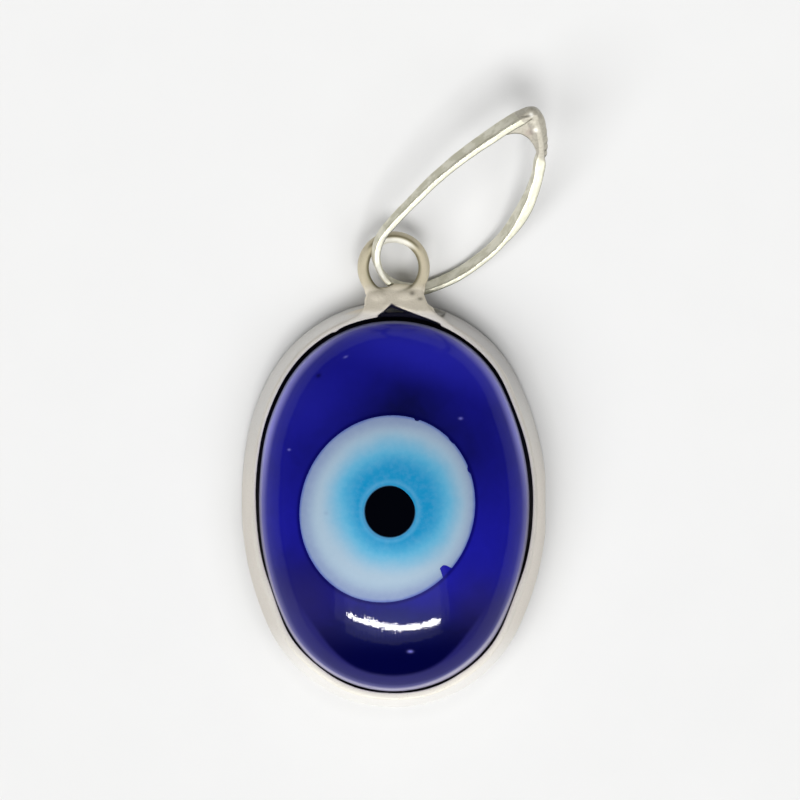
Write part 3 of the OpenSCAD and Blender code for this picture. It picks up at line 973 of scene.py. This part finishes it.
body = glass_body()
paint(body, "off", lambda vert: outline_off(vert.co.x, vert.co.y))
glass = [piece(body, cobalt_look(), "cobalt_glass", "cobalt_glass"),
         piece(glass_layer("eye_white", WHITE_RIM, WHITE["depth"], IRIS_RIM, IRIS["depth"]),
               layer_look("white_glass"), "white_glass", "white_disc"),
         piece(glass_layer("eye_iris", IRIS_RIM, IRIS["depth"], PUPIL_RIM, PUPIL["depth"]),
               layer_look("blue_glass"), "blue_glass", "iris_disc"),
         piece(pupil_drop(), pupil_look(), "black_glass", "pupil")]
neck_shells = [eyelet_ring(), solder_neck()] + [lump(*place) for place in LUMPS]
neck = opened(fused("neck", neck_shells, voxel=0.05, smooth_turns=12))
setting_skin = fused("cup_and_eyelet", [cup(), neck], voxel=0.05, smooth_turns=4, keep=0.28)
paint(setting_skin, "gap", in_gap)
setting_skin.shade_smooth()
silver = [piece(setting_skin, setting_look(), "silver", "setting"),
          piece(bail_skin(), bail_look(), "bail_silver", "bail")]


# Stage, lights and camera, in metres
def stage_plane(name, look, size, place, turn=None):
    """A flat square or oblong."""
    bm = bmesh.new()
    bmesh.ops.create_grid(bm, x_segments=1, y_segments=1, size=0.5)
    bmesh.ops.scale(bm, verts=bm.verts, vec=(*size, 1))
    mesh = bpy.data.meshes.new(name)
    bm.to_mesh(mesh)
    bm.free()
    mesh.materials.append(look)
    obj = bpy.data.objects.new(name, mesh)
    bpy.context.scene.collection.objects.link(obj)
    obj.location = place
    if turn:
        obj.rotation_mode = "QUATERNION"
        obj.rotation_quaternion = turn
    return obj


def black_flag_look():
    """A black card below the picture, which only the gloss sees."""
    look = Look("black_flag")
    return look.finish(Base_Color=(0.002, 0.002, 0.003, 1), Roughness=1.0, Specular_IOR_Level=0.0)


stage_plane("floor", floor_look(), (4, 4), (0, 0, -0.00002))
flag = stage_plane("front_flag", black_flag_look(), (0.9, 0.42), (0.02, -0.46, 0.21),
                   Matrix.Rotation(math.pi / 2, 4, "X").to_quaternion())
flag.visible_camera = False
flag.visible_diffuse = False
flag.visible_shadow = False


def toward(zenith, azimuth, distance):
    """A point at a distance from the glass: zenith from straight up, azimuth from -Y towards +X."""
    flat = math.sin(zenith) * distance
    return Vector((flat * math.sin(azimuth), -flat * math.cos(azimuth), math.cos(zenith) * distance))


def card_size(width_deg, height_deg, distance):
    """Width and height of a card that fills these angles at a distance."""
    return [2 * distance * math.tan(math.radians(angle / 2)) for angle in (width_deg, height_deg)]


def soft_card(name, zenith_deg, azimuth_deg, angles_deg, radiance, pieces, distance, roll_deg=0):
    """An area light that faces the glass and shows only in the gloss of the pieces given."""
    light = bpy.data.lights.new(name, "AREA")
    light.shape = "RECTANGLE"
    light.size, light.size_y = card_size(*angles_deg, distance)
    light.energy = radiance * math.pi * light.size * light.size_y
    obj = bpy.data.objects.new(name, light)
    bpy.context.scene.collection.objects.link(obj)
    aim = toward(math.radians(zenith_deg), math.radians(azimuth_deg), distance)
    obj.location = aim
    obj.rotation_mode = "QUATERNION"
    roll = Matrix.Rotation(math.radians(roll_deg), 3, "Z").to_quaternion()
    obj.rotation_quaternion = aim.to_track_quat("Z", "Y") @ roll
    obj.visible_camera = False
    obj.visible_diffuse = False
    lit = bpy.data.collections.new(name)
    for part in pieces:
        lit.objects.link(part)
    obj.light_linking.receiver_collection = lit


soft_card("smile_strip", 48, 0, (52, 2.8), 190, glass, distance=0.45, roll_deg=-5)
soft_card("low_panel", 36, -3, (68, 34), 1.4, glass, distance=0.45)
soft_card("low_panel_halo", 44, 0, (54, 30), 1.4, glass, distance=0.46)
soft_card("rim_gleam", 48, 0, (52, 4), 5, silver[:1], distance=0.45)
soft_card("bail_gleam", 48, 0, (52, 3), 22, silver[1:], distance=0.45)
soft_card("solder_front", 62, 14, (50, 30), 0.9, silver[:1], distance=0.35)
soft_card("bail_front", 68, 22, (60, 44), 0.9, silver[1:], distance=0.35)


def window(name, zenith_deg, azimuth_deg, width_deg, upward):
    """Soft light from a wide round window, which gives the floor the irradiance upward."""
    light = bpy.data.lights.new(name, "SUN")
    light.energy = upward / math.cos(math.radians(zenith_deg))
    light.angle = math.radians(width_deg)
    obj = bpy.data.objects.new(name, light)
    bpy.context.scene.collection.objects.link(obj)
    aim = toward(math.radians(zenith_deg), math.radians(azimuth_deg), 1)
    obj.rotation_mode = "QUATERNION"
    obj.rotation_quaternion = aim.to_track_quat("Z", "Y")
    obj.visible_glossy = False


window("front_window", 29, 5, 24, 1.4)
window("left_window", 42, -50, 40, 1.2)
window("right_window", 37, 48, 40, 0.64)


def studio_world():
    """A faint even light. Gloss sees a dark room with a pale skyline."""
    world = bpy.data.worlds.new("studio")
    bpy.context.scene.world = world
    world.use_nodes = True
    glow = Look.on(world.node_tree)
    way = glow.node("ShaderNodeTexCoord", {}, {}, "Generated")
    up = glow.node("ShaderNodeSeparateXYZ", {}, {"Vector": way}, "Z")
    low = (1 - up * 3.2).clip()
    gloss = low * low * 0.15 + 0.03
    glossy_ray = glow.node("ShaderNodeLightPath", {}, {}, "Is Glossy Ray")
    strength = glossy_ray * gloss + (1 - glossy_ray) * 0.11
    background = world.node_tree.nodes["Background"]
    background.inputs["Color"].default_value = (1, 1, 1, 1)
    world.node_tree.links.new(strength.socket, background.inputs["Strength"])


studio_world()

camera = bpy.data.cameras.new("camera")
camera.lens = 139
camera.sensor_width = 36
camera.clip_start = 0.001
camera.clip_end = 10
camera_obj = bpy.data.objects.new("camera", camera)
camera_obj.location = (0.00031, 0.00513, 0.1523)
bpy.context.scene.collection.objects.link(camera_obj)
bpy.context.scene.camera = camera_obj
bpy.context.scene.view_settings.view_transform = "Standard"
